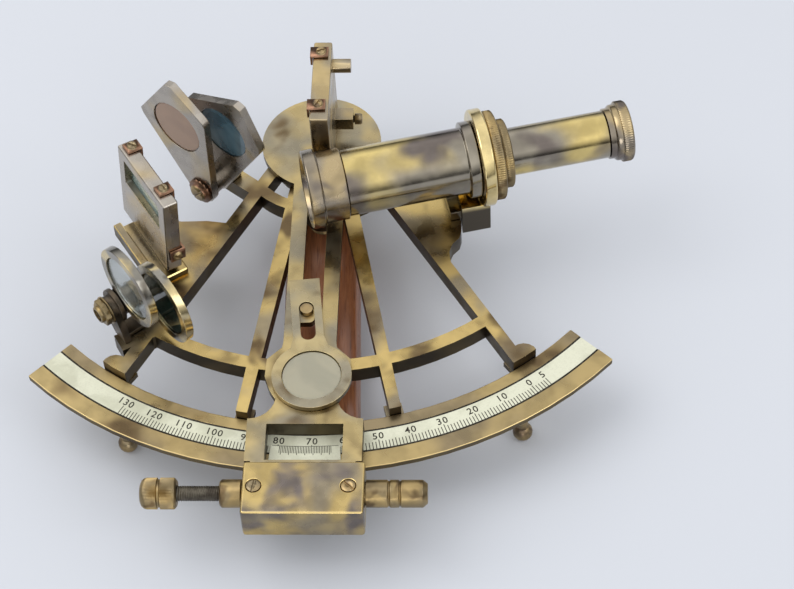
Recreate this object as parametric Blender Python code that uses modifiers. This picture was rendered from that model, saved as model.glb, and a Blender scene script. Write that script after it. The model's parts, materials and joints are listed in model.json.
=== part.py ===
# Nautical sextant: brass frame, silvered scale, index arm with tangent screw, two mirrors,
# four shades, a slide-focus telescope and a wooden grip.
#
# The helpers take millimetres and build in metres. Most pieces are laid out in the sextant's own
# datum: the index pivot is the Z axis, z = 0 is the top of the limb and the limb's middle is
# towards -Y. The datum stands LIMB_TOP above the table on three ball feet.

import math

import bmesh
import bpy
from mathutils import Matrix, Vector

MM = 0.001
GAP = 0.3                     # clearance between pieces that touch
FIT = 0.06                    # radial clearance of a shaft that turns or slides in its bore

# Place of the pivot over the table, so that the origin is under the middle of the object
PIVOT_X, PIVOT_Y = -6.8, 80.5
LIMB_TOP = 29.0

# Limb and scale
LIMB_IN, LIMB_OUT, LIMB_THICK, LIMB_HALF_ANGLE = 138.0, 159.9, 2.8, 46.0
SCALE_IN, SCALE_OUT, SCALE_DEPTH = 143.2, 152.4, 0.8

# Frame casting
FRAME_TOP, FRAME_BOTTOM = 4.4, -3.1
FRAME_END_R = LIMB_IN - GAP
HUB_R = 21.0
LEDGE_BOTTOM, LEDGE_R = -5.1, 144.5

# Index arm, turned about the pivot by ARM_ANGLE from the limb's middle
ARM_ANGLE = -1.9
ARM_BOTTOM, ARM_TOP = 4.8, 7.8
DISC_R = 24.9
SHAFT_R = 5.0
ARM_HALF = 22.3               # half width at the window and the tangent box
WINDOW_HALF, WINDOW_FAR, WINDOW_NEAR = 14.8, -143.3, -161.5

# Tangent-screw box
BOX_FAR, BOX_NEAR, BOX_BOTTOM, BOX_TOP, BOX_WALL = -161.8, -185.2, -6.0, 10.0, 1.8
BOX_MIDDLE, BOX_HALF = 0.8, 23.1
SCREW_Y, SCREW_Z, ROD_R = -172.0, 3.0, 3.0

# Sight line
SIGHT_Z = 30.0                # height of the telescope's axis
TELESCOPE_FRONT = (-2.0, -44.5)
TELESCOPE_ANGLE = 11.7
MIRROR_TOP = 50.0
HORIZON_ANGLE = 31.0          # direction that the horizon mirror faces
HORIZON_FACE = (-68.3, -52.3)
HORIZON_LEAN = 4.0

# Shades
INDEX_AXLE, INDEX_AXLE_ANGLE = (-48.2, -22.9, 8.0), 50.0
HORIZON_AXLE, HORIZON_AXLE_ANGLE = (-77.4, -88.5, 17.0), 37.0
RING_R, RING_BORE, RING_REACH = 17.3, 13.6, 22.0

# Telescope radii and stations along its axis, from the objective
TUBE_R, TUBE_BORE, DRAW_R = 13.5, 12.4, 9.7

FINISHES = {                  # colour, metallic, roughness
    "brass": ((0.60, 0.47, 0.24), 1.0, 0.32),
    "bright_brass": ((0.80, 0.64, 0.32), 1.0, 0.24),
    "dark_brass": ((0.20, 0.17, 0.13), 1.0, 0.42),
    "copper": ((0.52, 0.30, 0.20), 1.0, 0.38),
    "silvered": ((0.80, 0.81, 0.72), 0.6, 0.40),
    "steel": ((0.45, 0.44, 0.42), 1.0, 0.35),
    "wood": ((0.30, 0.12, 0.055), 0.0, 0.45),
    "mirror": ((0.86, 0.88, 0.88), 1.0, 0.03),
    "clear_glass": ((0.85, 0.92, 0.90), 0.0, 0.03),
    "rose_glass": ((0.52, 0.36, 0.28), 0.0, 0.08),
    "blue_glass": ((0.10, 0.17, 0.20), 0.0, 0.06),
    "green_glass": ((0.02, 0.05, 0.04), 0.0, 0.06),
    "lens": ((0.62, 0.60, 0.50), 0.0, 0.08),
}


# ---------------------------------------------------------------- scene and placing

for old in list(bpy.data.objects):
    bpy.data.objects.remove(old, do_unlink=True)


def new_collection(name):
    made = bpy.data.collections.new(name)
    bpy.context.scene.collection.children.link(made)
    return made


PARTS = new_collection("nautical_sextant")
TOOLS = new_collection("cutters")


def empty(name, parent=None, place=(0, 0, 0), turn=None):
    """An axis or datum; turn is a rotation matrix."""
    made = bpy.data.objects.new(name, None)
    made.parent = parent
    basis = turn.to_4x4() if turn is not None else Matrix.Identity(4)
    made.matrix_local = Matrix.Translation(Vector(place) * MM) @ basis
    PARTS.objects.link(made)
    return made


def facing(angle, lean=0.0):
    """Axes of an upright plane whose normal (local Z) points at angle in the XY plane.

    Local X runs level in the plane and local Y runs up; lean tips the top towards the normal."""
    a = math.radians(angle)
    normal = Vector((math.cos(a), math.sin(a), 0))
    level = Vector((-math.sin(a), math.cos(a), 0))
    axes = Matrix((level, Vector((0, 0, 1)), normal)).transposed()
    return axes @ Matrix.Rotation(math.radians(lean), 3, "X")


def about_z(angle):
    return Matrix.Rotation(math.radians(angle), 3, "Z")


DATUM = empty("datum", None, (PIVOT_X, PIVOT_Y, LIMB_TOP))
ARM = empty("index_arm_axis", DATUM, (0, 0, 0), about_z(ARM_ANGLE))


def finish(made, kind):
    colour, metallic, roughness = FINISHES[kind]
    material = bpy.data.materials.new(made.name)
    material.use_nodes = True
    shader = material.node_tree.nodes["Principled BSDF"]
    shader.inputs["Base Color"].default_value = (*colour, 1.0)
    shader.inputs["Metallic"].default_value = metallic
    shader.inputs["Roughness"].default_value = roughness
    made.data.materials.clear()
    made.data.materials.append(material)


def add(name, mesh, kind, parent, place=(0, 0, 0), turn=None):
    """Make a piece, or a boolean tool where kind is None."""
    made = bpy.data.objects.new(name, mesh)
    made.parent = parent
    basis = turn.to_4x4() if turn is not None else Matrix.Identity(4)
    made.matrix_local = Matrix.Translation(Vector(place) * MM) @ basis
    if kind is None:
        TOOLS.objects.link(made)
        made.hide_render = True
        made.display_type = "WIRE"
    else:
        PARTS.objects.link(made)
        finish(made, kind)
    return made


# ---------------------------------------------------------------- shapes

def closed_mesh(bm, name, smooth_angle=35.0):
    bmesh.ops.remove_doubles(bm, verts=bm.verts, dist=1e-6)
    bmesh.ops.recalc_face_normals(bm, faces=bm.faces)
    mesh = bpy.data.meshes.new(name)
    bm.to_mesh(mesh)
    bm.free()
    mesh.shade_smooth()
    mesh.set_sharp_from_angle(angle=math.radians(smooth_angle))
    return mesh


def arc(centre, radius, start, end, steps):
    """Points on an arc, start and end in degrees from +X."""
    points = []
    for i in range(steps + 1):
        a = math.radians(start + (end - start) * i / steps)
        points.append((centre[0] + radius * math.cos(a), centre[1] + radius * math.sin(a)))
    return points


def circle(centre, radius, steps=32):
    return arc(centre, radius, 0, 360 * (1 - 1 / steps), steps - 1)


def rounded(width, height, radius, centre=(0, 0), steps=4):
    """A rectangle with round corners."""
    x, y = width / 2 - radius, height / 2 - radius
    points = []
    for cx, cy, start in ((x, y, 0), (-x, y, 90), (-x, -y, 180), (x, -y, 270)):
        points += arc((centre[0] + cx, centre[1] + cy), radius, start, start + 90, steps)
    return points


def slot_outline(centre, half_length, radius, steps=8):
    """A slot along Y."""
    top = arc((centre[0], centre[1] + half_length), radius, 0, 180, steps)
    low = arc((centre[0], centre[1] - half_length), radius, 180, 360, steps)
    return top + low


def band(inner, outer, left, right, step=4.0):
    """An arc band about the pivot between two angles from -Y, positive towards +X."""
    steps = max(2, int(round((right - left) / step)))
    far = arc((0, 0), outer, left - 90, right - 90, steps)
    near = arc((0, 0), inner, right - 90, left - 90, steps)
    return far + near


def bar(start, end, width_start, width_end):
    """The outline of a straight tapered bar."""
    run = Vector(end) - Vector(start)
    side = Vector((-run.y, run.x)).normalized()
    corners = []
    for at, width in ((start, width_start), (end, width_end)):
        corners.append([Vector(at) + side * width / 2 * s for s in (1, -1)])
    (a, b), (c, d) = corners
    return [tuple(b), tuple(d), tuple(c), tuple(a)]


def outline_mesh(name, outline, low, high, holes=()):
    """A flat outline, with any holes, as a 2D curve filled on both sides and extruded."""
    curve = bpy.data.curves.new(name, "CURVE")
    curve.dimensions = "2D"
    curve.fill_mode = "BOTH"
    curve.extrude = (high - low) / 2 * MM
    for loop in (outline, *holes):
        spline = curve.splines.new("POLY")
        spline.points.add(len(loop) - 1)
        for point, (x, y) in zip(spline.points, loop):
            point.co = (x * MM, y * MM, 0, 1)
        spline.use_cyclic_u = True
    guide = bpy.data.objects.new(name + "_outline", curve)
    TOOLS.objects.link(guide)
    depsgraph = bpy.context.evaluated_depsgraph_get()
    mesh = bpy.data.meshes.new_from_object(guide.evaluated_get(depsgraph))
    bpy.data.objects.remove(guide, do_unlink=True)
    bpy.data.curves.remove(curve)
    bm = bmesh.new()
    bm.from_mesh(mesh)
    bpy.data.meshes.remove(mesh)
    bmesh.ops.translate(bm, verts=bm.verts, vec=(0, 0, (high + low) / 2 * MM))
    return closed_mesh(bm, name)


def plate(name, kind, parent, outline, low, high, holes=(), place=(0, 0, 0), turn=None):
    return add(name, outline_mesh(name, outline, low, high, holes), kind, parent, place, turn)


def turned(name, kind, parent, profile, steps=32, place=(0, 0, 0), turn=None):
    """A turned piece about local Z. A profile that starts and ends at radius 0 is solid;
    any other profile is closed into a ring. The outer side runs from top to bottom."""
    solid = profile[0][0] == 0 and profile[-1][0] == 0
    mesh = bpy.data.meshes.new(name)
    count = len(profile)
    edges = [(i, i + 1) for i in range(count - 1)]
    if not solid:
        edges.append((count - 1, 0))
    mesh.from_pydata([(r * MM, 0, z * MM) for r, z in profile], edges, [])
    guide = bpy.data.objects.new(name + "_profile", mesh)
    TOOLS.objects.link(guide)
    screw = guide.modifiers.new("turn", "SCREW")
    screw.angle = math.tau
    screw.steps = screw.render_steps = steps
    screw.use_merge_vertices = True
    screw.merge_threshold = 0.00001
    depsgraph = bpy.context.evaluated_depsgraph_get()
    spun = bpy.data.meshes.new_from_object(guide.evaluated_get(depsgraph))
    bpy.data.objects.remove(guide, do_unlink=True)
    bpy.data.meshes.remove(mesh)
    bm = bmesh.new()
    bm.from_mesh(spun)
    bpy.data.meshes.remove(spun)
    return add(name, closed_mesh(bm, name), kind, parent, place, turn)


def rod(name, kind, parent, radius, low, high, steps=24, place=(0, 0, 0), turn=None):
    """A plain cylinder on local Z."""
    profile = [(0, high), (radius, high), (radius, low), (0, low)]
    return turned(name, kind, parent, profile, steps, place, turn)


def block(name, kind, parent, low, high, bevel=0.0, segments=2, place=(0, 0, 0), turn=None):
    """A box between two corners, with its edges rounded."""
    bm = bmesh.new()
    size = [high[i] - low[i] for i in range(3)]
    middle = [(high[i] + low[i]) / 2 for i in range(3)]
    stretch = Matrix.Diagonal((*[s * MM for s in size], 1))
    bmesh.ops.create_cube(bm, size=1, matrix=Matrix.Translation(Vector(middle) * MM) @ stretch)
    made = add(name, closed_mesh(bm, name), kind, parent, place, turn)
    if bevel:
        rounding = made.modifiers.new("round", "BEVEL")
        rounding.width = bevel * MM
        rounding.segments = segments
        rounding.limit_method = "ANGLE"
    return made


def boolean(target, tool, operation):
    step = target.modifiers.new(tool.name, "BOOLEAN")
    step.operation = operation
    step.solver = "EXACT"
    step.object = tool


def flatten(target):
    """Merge the flat faces that the booleans leave in one plane."""
    tidy = target.modifiers.new("flatten", "DECIMATE")
    tidy.decimate_type = "DISSOLVE"
    tidy.angle_limit = math.radians(0.5)


def cut(target, *tools):
    for tool in tools:
        boolean(target, tool, "DIFFERENCE")


def join(target, *tools):
    for tool in tools:
        boolean(target, tool, "UNION")


# ---------------------------------------------------------------- frame, limb, feet and grip

SPOKE_ENDS = ((19.5, -10.3), (77.9, -113.0))      # outer spokes, right side
INNER_SPOKE = ((9.2, -18.0), (29.9, -135.5))
TAB = (80.2, -110.9)
LEDGE_ANGLES = (-35.0, -12.5, 12.5, 35.0)
GRIP_POSTS = ((0.0, -33.0), (0.0, -114.0))


def mirrored(points):
    return [(-x, y) for x, y in reversed(points)]


def both_sides(outline):
    return (outline, mirrored(outline))


def telescope_web():
    """The plate from the right outer spoke to the telescope's holder."""
    return [(24, -20), (52.6, -20.0), (57.3, -42.5), (57.3, -47.5), (56.4, -51.0), (53.6, -54.0),
            (52.2, -58.0), (52.6, -63.0), (55.0, -69.0), (50.0, -68.0)]


def mirror_web():
    """The plate from the left outer spoke to the horizon mirror."""
    return [(-36, -40), (-46.9, -38.1), (-57.5, -38.0), (-69.6, -34.5), (-80.8, -41.2),
            (-63.3, -70.3), (-57.5, -74.0), (-54.0, -70.0)]


def make_frame():
    """One casting: hub, spokes, arcs, webs, lugs and the ledges that carry the limb."""
    frame = plate("frame", "brass", DATUM, circle((0, 0), HUB_R, 32), FRAME_BOTTOM, FRAME_TOP)
    shapes = [band(30.7, 35.7, -47, 47, 8), band(111.2, 116.7, -35, 35),
              circle(GRIP_POSTS[0], 6.5, 16), circle(GRIP_POSTS[1], 6.5, 16),
              telescope_web(), mirror_web(),
              bar((-26.0, -22.3), (-42.9, -8.1), 7.2, 7.2),   # index shades
              bar((-66.0, -92.5), (-79.5, -99.6), 8.5, 8.5),  # horizon shades, outer post
              bar((-57.0, -76.0), (-68.5, -81.6), 9, 9)]      # horizon shades, inner post
    for outline in (bar(*SPOKE_ENDS, 5.4, 5.0), bar(*INNER_SPOKE, 6.6, 4.6), circle(TAB, 5.6, 16)):
        shapes += both_sides(outline)
    for i, outline in enumerate(shapes):
        join(frame, plate("frame_shape_%d" % i, None, DATUM, outline, FRAME_BOTTOM, FRAME_TOP))
    for i, angle in enumerate(LEDGE_ANGLES):
        a = math.radians(angle)
        ends = [(r * math.sin(a), -r * math.cos(a)) for r in (131.0, LEDGE_R)]
        ledge = bar(*ends, 7, 7)
        join(frame, plate("ledge_%d" % i, None, DATUM, ledge, LEDGE_BOTTOM, FRAME_BOTTOM + 0.4))
    room = band(FRAME_END_R, 175, -60, 60)
    cut(frame, plate("limb_room", None, DATUM, room, -LIMB_THICK - GAP - 0.05, 9))
    cut(frame, rod("shaft_bore", None, DATUM, SHAFT_R + FIT, -9, 9, 24))
    flatten(frame)


def make_limb():
    half = LIMB_HALF_ANGLE
    limb = plate("limb", "brass", DATUM, band(LIMB_IN, LIMB_OUT, -half, half), -LIMB_THICK, 0)
    groove = band(SCALE_IN, SCALE_OUT, -half - 1, half + 1)
    cut(limb, plate("scale_groove", None, DATUM, groove, -SCALE_DEPTH, 1))
    plate("scale_arc", "silvered", DATUM,
          band(SCALE_IN + GAP, SCALE_OUT - GAP, -half + 0.1, half - 0.1), GAP - SCALE_DEPTH, 0)


def foot_profile(top):
    """A post with a collar under the metal and a ball that stands on a small flat."""
    ball_r, ball_z, floor = 4.0, -25.6, -LIMB_TOP
    flat = math.asin((floor - ball_z) / ball_r)
    ball = arc((0, ball_z), ball_r, 58, math.degrees(flat), 7)
    return [(0, top), (3.6, top), (3.6, top - 1.6), (2.2, top - 2.6), (2.2, ball_z + 3.4),
            *ball, (0, floor)]


def make_feet():
    places = (("foot_left", (-77.7, -126.6), -LIMB_THICK), ("foot_right", (79.2, -126.3), -LIMB_THICK),
              ("foot_rear", (0, 14.5), FRAME_BOTTOM))
    for name, (x, y), under in places:
        turned(name, "brass", DATUM, foot_profile(under - GAP), 16, (x, y, 0))


def make_grip():
    """A wooden grip under the frame, on two posts whose long screws show in its underside."""
    top, bottom = -7.0, -24.0
    grip = block("handle_grip", "wood", DATUM, (-15.3, -133, bottom), (15.3, -20, top), 5.0, 2)
    for i, (x, y) in enumerate(GRIP_POSTS):
        where = (x, y, 0)
        cut(grip, rod("grip_hole_%d" % i, None, DATUM, 2.1, -30, 0, 12, where),
            rod("grip_counterbore_%d" % i, None, DATUM, 4.3, -30, bottom + 4.5, 16, where))
        name = ("upper", "lower")[i]
        turned("handle_post_" + name, "brass", DATUM,
               [(0, FRAME_BOTTOM - GAP), (5.6, FRAME_BOTTOM - GAP), (5.6, -4.4), (4.2, -5.2),
                (5.2, top + GAP), (1.8, top + GAP), (1.8, bottom + 4.2), (3.9, bottom + 4.2),
                (3.9, bottom + 2.4), (3.2, bottom + 1.8), (0, bottom + 1.8)], 16, where)


# ---------------------------------------------------------------- index arm and its pivot

MAGNIFIER = (1.65, -122.0)
MAGNIFIER_TURN = 6.25
STUD_REACH = 33.0             # from the reading lens to the stud that guides it


def stud_place():
    a = math.radians(MAGNIFIER_TURN)
    return (MAGNIFIER[0] - STUD_REACH * math.sin(a), MAGNIFIER[1] + STUD_REACH * math.cos(a))


def arm_outline_low():
    """The arm from the fork's crotch to the window frame, right half from top to bottom."""
    waist = [(10.4, -104.0), (10.8, -107.0), (16.4, -112.6), (16.8, -121.0), (14.6, -127.5),
             (12.2, -131.6)]
    flare = arc((ARM_HALF, -130.5), 10.4, 183, 270, 6)
    return waist + flare + [(ARM_HALF, -160.4)]


def make_arm():
    """The arm casting: pivot disc, two legs, boss, window frame and the carrier in the box."""
    arm = plate("index_arm", "brass", ARM, circle((0, 0), DISC_R, 48), ARM_BOTTOM, ARM_TOP)
    right = arm_outline_low()
    window = [(WINDOW_HALF, WINDOW_FAR), (WINDOW_HALF, WINDOW_NEAR + 1.6),
              (-WINDOW_HALF, WINDOW_NEAR + 1.6), (-WINDOW_HALF, WINDOW_FAR)]
    lower = plate("arm_lower", None, ARM, mirrored(right) + right, ARM_BOTTOM, ARM_TOP,
                  (window,))
    tools = [lower]
    for i, side in enumerate((-1, 1)):
        leg = bar((7.3 * side, -15), (7.3 * side, -106), 6.2, 6.2)
        tools.append(plate("arm_leg_%d" % i, None, ARM, leg, ARM_BOTTOM, ARM_TOP))
        wall = [(WINDOW_HALF * side, -140.5), (ARM_HALF * side, -140.5),
                (ARM_HALF * side, -160.4), (WINDOW_HALF * side, -160.4)]
        tools.append(plate("window_wall_%d" % i, None, ARM, wall, 0.4, ARM_BOTTOM + 0.5))
        lug = [(15.5 * side, -177.3), (20.0 * side, -177.3), (20.0 * side, -166.7),
               (15.5 * side, -166.7)]
        tools.append(plate("screw_lug_%d" % i, None, ARM, lug, -2.5, 7.0))
    far_wall = [(-16, WINDOW_FAR), (16, WINDOW_FAR), (16, -139.9), (-16, -139.9)]
    tools.append(plate("window_far_wall", None, ARM, far_wall, 0.4, ARM_BOTTOM + 0.5))
    carrier = [(-20, -181.3), (20, -181.3), (20, -159.9), (-20, -159.9)]
    tools.append(plate("arm_end", None, ARM, carrier, 6.5, ARM_TOP))
    x, y = stud_place()
    tools.append(plate("stud_lug", None, ARM, rounded(11, 11, 2, (x - 2.2, y)), ARM_BOTTOM, ARM_TOP))
    join(arm, *tools)
    cut(arm, rod("shaft_seat", None, ARM, SHAFT_R + GAP, 3, 6.3, 24),
        rod("stud_hole", None, ARM, 2.0 + FIT, 3, 9, 16, (x, y, 0)))
    for i, side in enumerate((-1, 1)):
        cut(arm, rod("cover_thread_%d" % i, None, ARM, 1.8, 3, 9, 12, (17.8 * side, -172.9, 0)),
            rod("rod_bore_%d" % i, None, ARM, 4.3, 12 * side, 24 * side, 16,
                (0, SCREW_Y, SCREW_Z), facing(0)))
    flatten(arm)


def make_pivot():
    turned("index_shaft", "steel", ARM,
           [(0, 6.0), (SHAFT_R, 6.0), (SHAFT_R, -3.4), (3.0, -3.4), (3.0, -8.4), (0, -8.4)], 24)
    turned("pivot_nut", "brass", ARM,
           [(8.0, -3.7), (8.0, -6.0), (7.2, -7.2), (3.3, -7.2), (3.3, -3.7)], 20)


def make_vernier():
    half = math.degrees(math.asin((WINDOW_HALF - 0.4) / 162.0))
    plate("vernier_plate", "silvered", ARM, band(149.3, 162.0, -half, half, 1.5), 0.3, 1.3)


def make_magnifier():
    """The reading lens on its slotted tongue, which slides and swings on a stud."""
    low, high = ARM_TOP + GAP, 10.3
    turn = about_z(MAGNIFIER_TURN)
    place = (*MAGNIFIER, 0)
    rim = arc((0, 0), 15.6, -242, 62, 32)
    neck = [(6.1, 18.5), (6.1, 47.3), (-6.1, 47.3), (-6.1, 18.5)]
    plate("magnifier_frame", "brass", ARM, rim + neck, low, high,
          (circle((0, 0), 11.7, 32), slot_outline((0, (20 + STUD_REACH) / 2), 6.5, 2.95)),
          place, turn)
    turned("magnifier_lens", "lens", ARM,
           [(0, high - 0.2), (7, high - 0.3), (11.4, high - 0.7), (11.4, low + 0.3), (0, low + 0.3)],
           32, place, turn)
    turned("magnifier_stud", "dark_brass", ARM,
           [(0, high - 0.4), (2.6, high - 0.4), (2.6, ARM_TOP + 0.25), (2.0, ARM_TOP + 0.25),
            (2.0, ARM_BOTTOM), (0, ARM_BOTTOM)], 16, (*stud_place(), 0))


# ---------------------------------------------------------------- tangent screw and clamp

def make_box():
    left, right = BOX_MIDDLE - BOX_HALF, BOX_MIDDLE + BOX_HALF
    cover = block("box_cover", "brass", ARM, (left, BOX_NEAR, BOX_BOTTOM),
                  (right, BOX_FAR, BOX_TOP), 1.2, 2)
    room = block("box_room", None, ARM,
                 (left + BOX_WALL, BOX_NEAR + BOX_WALL, BOX_BOTTOM - 2),
                 (right - BOX_WALL, BOX_FAR + 3, BOX_TOP - BOX_WALL - 0.1))
    side = rod("box_side_holes", None, ARM, 4.4, -30, 30, 16, (0, SCREW_Y, SCREW_Z), facing(0))
    cut(cover, room, side)
    for i, x in enumerate((-17.8, 17.8)):
        where = (x, -172.9, 0)
        cut(cover, rod("cover_hole_%d" % i, None, ARM, 1.9, 5, 12, 12, where),
            rod("cover_sink_%d" % i, None, ARM, 3.0, 9.0, 12, 20, where))
        turned("cover_screw_%d" % (i + 1), "brass", ARM,
               [(0, 10.4), (2.0, 10.35), (2.7, 10.0), (2.7, 9.25), (1.5, 9.25), (1.5, 6.4),
                (0, 6.4)], 16, where)


def make_tangent_screw():
    axis = {"place": (0, SCREW_Y, SCREW_Z), "turn": facing(0)}
    turned("tangent_screw", "dark_brass", ARM,
           [(0, -6.1), (ROD_R - 0.6, -6.1), (ROD_R, -6.8), (ROD_R, -57.0), (0, -57.0)], 20, **axis)
    turned("tangent_knob", "brass", ARM,
           [(0, -57.3), (ROD_R + GAP, -57.3), (ROD_R + GAP, -47.3), (5.0, -47.3), (6.0, -48.4),
            (6.0, -53.4), (5.4, -54.2), (6.0, -55.0), (6.0, -58.6), (5.0, -60.6), (3.0, -61.4),
            (0, -61.4)], 24, **axis)
    turned("screw_collar", "brass", ARM,
           [(4.0, -20.3), (4.0, -22.8), (5.4, -22.8), (5.4, -30.2), (4.7, -31.0),
            (ROD_R + FIT, -31.0), (ROD_R + FIT, -20.3)], 24, **axis)
    turned("spring_barrel", "brass", ARM,
           [(0, 47.4), (3.8, 47.4), (5.25, 45.6), (5.25, 37.6), (4.7, 37.0), (5.25, 36.4),
            (5.25, 33.4), (4.7, 32.8), (5.25, 32.2), (5.25, 24.2), (4.0, 24.2), (4.0, 20.3),
            (3.1 + FIT, 20.3), (3.1 + FIT, 43.5), (0, 43.5)], 24, **axis)
    turned("spring_plunger", "steel", ARM,
           [(0, 27.4), (3.1, 27.4), (3.1, 6.7), (2.5, 6.1), (0, 6.1)], 20, **axis)
    make_spring(axis)


def make_spring(axis):
    """The coil in the barrel that pushes the clamp back against the screw."""
    turns, per_turn, radius, wire = 5, 8, 2.6, 0.42
    start, end = 28.2, 42.7
    curve = bpy.data.curves.new("return_spring", "CURVE")
    curve.dimensions = "3D"
    curve.bevel_depth = wire * MM
    curve.bevel_resolution = 0
    curve.use_fill_caps = True
    count = turns * per_turn + 1
    spline = curve.splines.new("POLY")
    spline.points.add(count - 1)
    for i, point in enumerate(spline.points):
        a = math.tau * i / per_turn
        point.co = (radius * MM * math.cos(a), radius * MM * math.sin(a),
                    (start + (end - start) * i / (count - 1)) * MM, 1)
    guide = bpy.data.objects.new("return_spring_path", curve)
    TOOLS.objects.link(guide)
    depsgraph = bpy.context.evaluated_depsgraph_get()
    mesh = bpy.data.meshes.new_from_object(guide.evaluated_get(depsgraph))
    bpy.data.objects.remove(guide, do_unlink=True)
    bm = bmesh.new()
    bm.from_mesh(mesh)
    add("return_spring", closed_mesh(bm, "return_spring", 60), "steel", ARM, **axis)


def make_clamp():
    """The block that the screw pushes, with the jaw that grips the limb from below."""
    clamp = block("clamp_block", "dark_brass", ARM, (-5.8, -178.2, -3.6), (5.8, -165.8, 5.4))
    jaw = plate("clamp_jaw", None, ARM,
                [(-9, -178.2), (9, -178.2), (9, -154.0), (-9, -154.0)], -6.4, -3.1)
    join(clamp, jaw)
    cut(clamp, rod("clamp_thread", None, ARM, 2.0 + FIT, -12, 1.5, 16, (0, SCREW_Y, 0)))
    turned("clamp_screw", "brass", ARM,
           [(0, 1.0), (2.0, 1.0), (2.0, -6.8), (6.2, -6.8), (6.8, -7.6), (6.8, -11.6),
            (6.0, -12.6), (0, -12.6)], 20, (0, SCREW_Y, 0))


# ---------------------------------------------------------------- mirrors

def mirror_clip(name, parent, reach, place, turn):
    """A bent copper tongue with its screw: local Z is up from the edge that carries it, and the
    tongue hooks down over the glass at reach on the local -Y side."""
    arm, thick, wide, down = 3.0, 0.8, 5.4, 4.2
    clip = block(name, "copper", parent, (-wide / 2, -reach - thick, GAP),
                 (wide / 2, arm, GAP + thick), place=place, turn=turn)
    hook = block(name + "_hook", None, parent, (-wide / 2, -reach - thick, GAP - down),
                 (wide / 2, -reach, GAP + thick), place=place, turn=turn)
    head = turned(name + "_head", None, parent,
                  [(0, 2.3), (1.6, 2.2), (2.1, 1.8), (2.1, GAP + 0.1), (0, GAP + 0.1)], 12,
                  place, turn)
    join(clip, hook, head)


def mirror_tray(name, parent, size, thick, pocket, place=(0, 0, 0), turn=None, window=None):
    """A brass tray that holds a mirror. Local X is level, Y up from the lower edge and Z the way
    the glass faces; size and pocket are width, height, and the pocket's depth comes last."""
    wide, high = size
    tray = block(name, "brass", parent, (-wide / 2, 0, -thick), (wide / 2, high, 0), 0.7, 2,
                 place, turn)
    in_wide, in_high, depth = pocket
    foot = (high - in_high) / 2
    cut(tray, block(name + "_pocket", None, parent, (-in_wide / 2, foot, -depth),
                    (in_wide / 2, foot + in_high, 2), place=place, turn=turn))
    if window:
        low, top, half = window
        hole = rounded(2 * half, top - low, 1.0, (0, (low + top) / 2), 3)
        cut(tray, plate(name + "_window", None, parent, hole, -thick - 2, 2, (), place, turn))
    return tray


def mirror_glass(name, kind, parent, tray_high, pocket, place=(0, 0, 0), turn=None):
    in_wide, in_high, depth = pocket
    foot = (tray_high - in_high) / 2
    block(name, kind, parent, (-in_wide / 2 + GAP, foot + GAP, -depth + GAP),
          (in_wide / 2 - GAP, foot + in_high - GAP, -0.4), place=place, turn=turn)


def make_index_mirror():
    """Stands on the pivot disc, with its glass over the pivot and facing -X."""
    bottom = ARM_TOP + GAP
    high = MIRROR_TOP - bottom
    place, turn = (-1.3, -4.0, bottom), facing(180)
    pocket = (37.0, 36.0, 2.8)
    tray = mirror_tray("index_mirror_frame", ARM, (43.0, high), 7.5, pocket, place, turn)
    join(tray, rod("index_lug_upper", None, ARM, 2.9, 5.5, 13.6, 16, (0, 12.0, 41.5), facing(0)),
         block("index_lug_lower", None, ARM, (5.5, -0.2, 16.0), (13.8, 6.2, 22.2)))
    cut(tray, rod("adjuster_hole", None, ARM, 1.5 + FIT, 4.0, 16, 16, (0, 3.0, 19.0), facing(0)))
    mirror_glass("index_mirror_glass", "mirror", ARM, high, pocket, place, turn)
    turned("mirror_adjuster", "copper", ARM,
           [(0, 17.6), (1.9, 17.4), (2.3, 16.8), (2.3, 14.4), (1.5, 14.4), (1.5, 7.0), (0, 7.0)],
           16, (0, 3.0, 19.0), facing(0))
    for i, y in enumerate((10.9, -17.9)):
        mirror_clip("index_clip_%d" % (i + 1), ARM, 3.6, (1.9, y, MIRROR_TOP), about_z(-90))


def make_horizon_mirror():
    """Stands on its base over the left web, facing the telescope and the index mirror."""
    axis = empty("horizon_mirror_axis", DATUM, (*HORIZON_FACE, 0), facing(HORIZON_ANGLE))
    base = block("horizon_mirror_base", "brass", axis, (-19, FRAME_TOP + GAP, -9.8),
                 (15, 8.0, 6.4), 0.5, 1)
    join(base, block("base_rail", None, axis, (-19, 7.0, -9.8), (15, 11.2, -6.4), 0.4, 1),
         block("base_seat", None, axis, (-15, 7.5, -1.8), (13, 11.2, 3.6)))
    bottom, high, thick = 12.0, MIRROR_TOP - 12.0, 6.6
    lean = Matrix.Rotation(math.radians(HORIZON_LEAN), 3, "X")
    place = Vector((0, bottom, -2.6)) + lean @ Vector((0, 0, thick))
    pocket = (33.0, 32.0, 3.6)
    mirror_tray("horizon_mirror_frame", axis, (39.0, high), thick, pocket, place, lean,
                (20.5, 33.5, 14.5))
    mirror_glass("horizon_mirror_glass", "clear_glass", axis, high, pocket, place, lean)
    top = place + lean @ Vector((0, high, -2.2))
    upward = lean @ Matrix.Rotation(math.radians(-90), 3, "X")
    for i, x in enumerate((15.0, -11.5)):
        mirror_clip("horizon_clip_%d" % (i + 1), axis, 2.6, top + Vector((x, 0, 0)), upward)
    side = place + lean @ Vector((-19.5, 8.5, -2.2))
    sideways = lean @ Matrix.Rotation(math.radians(-90), 3, "Y") @ about_z(90)
    mirror_clip("horizon_clip_3", axis, 2.6, side, sideways)


# ---------------------------------------------------------------- shades

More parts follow.
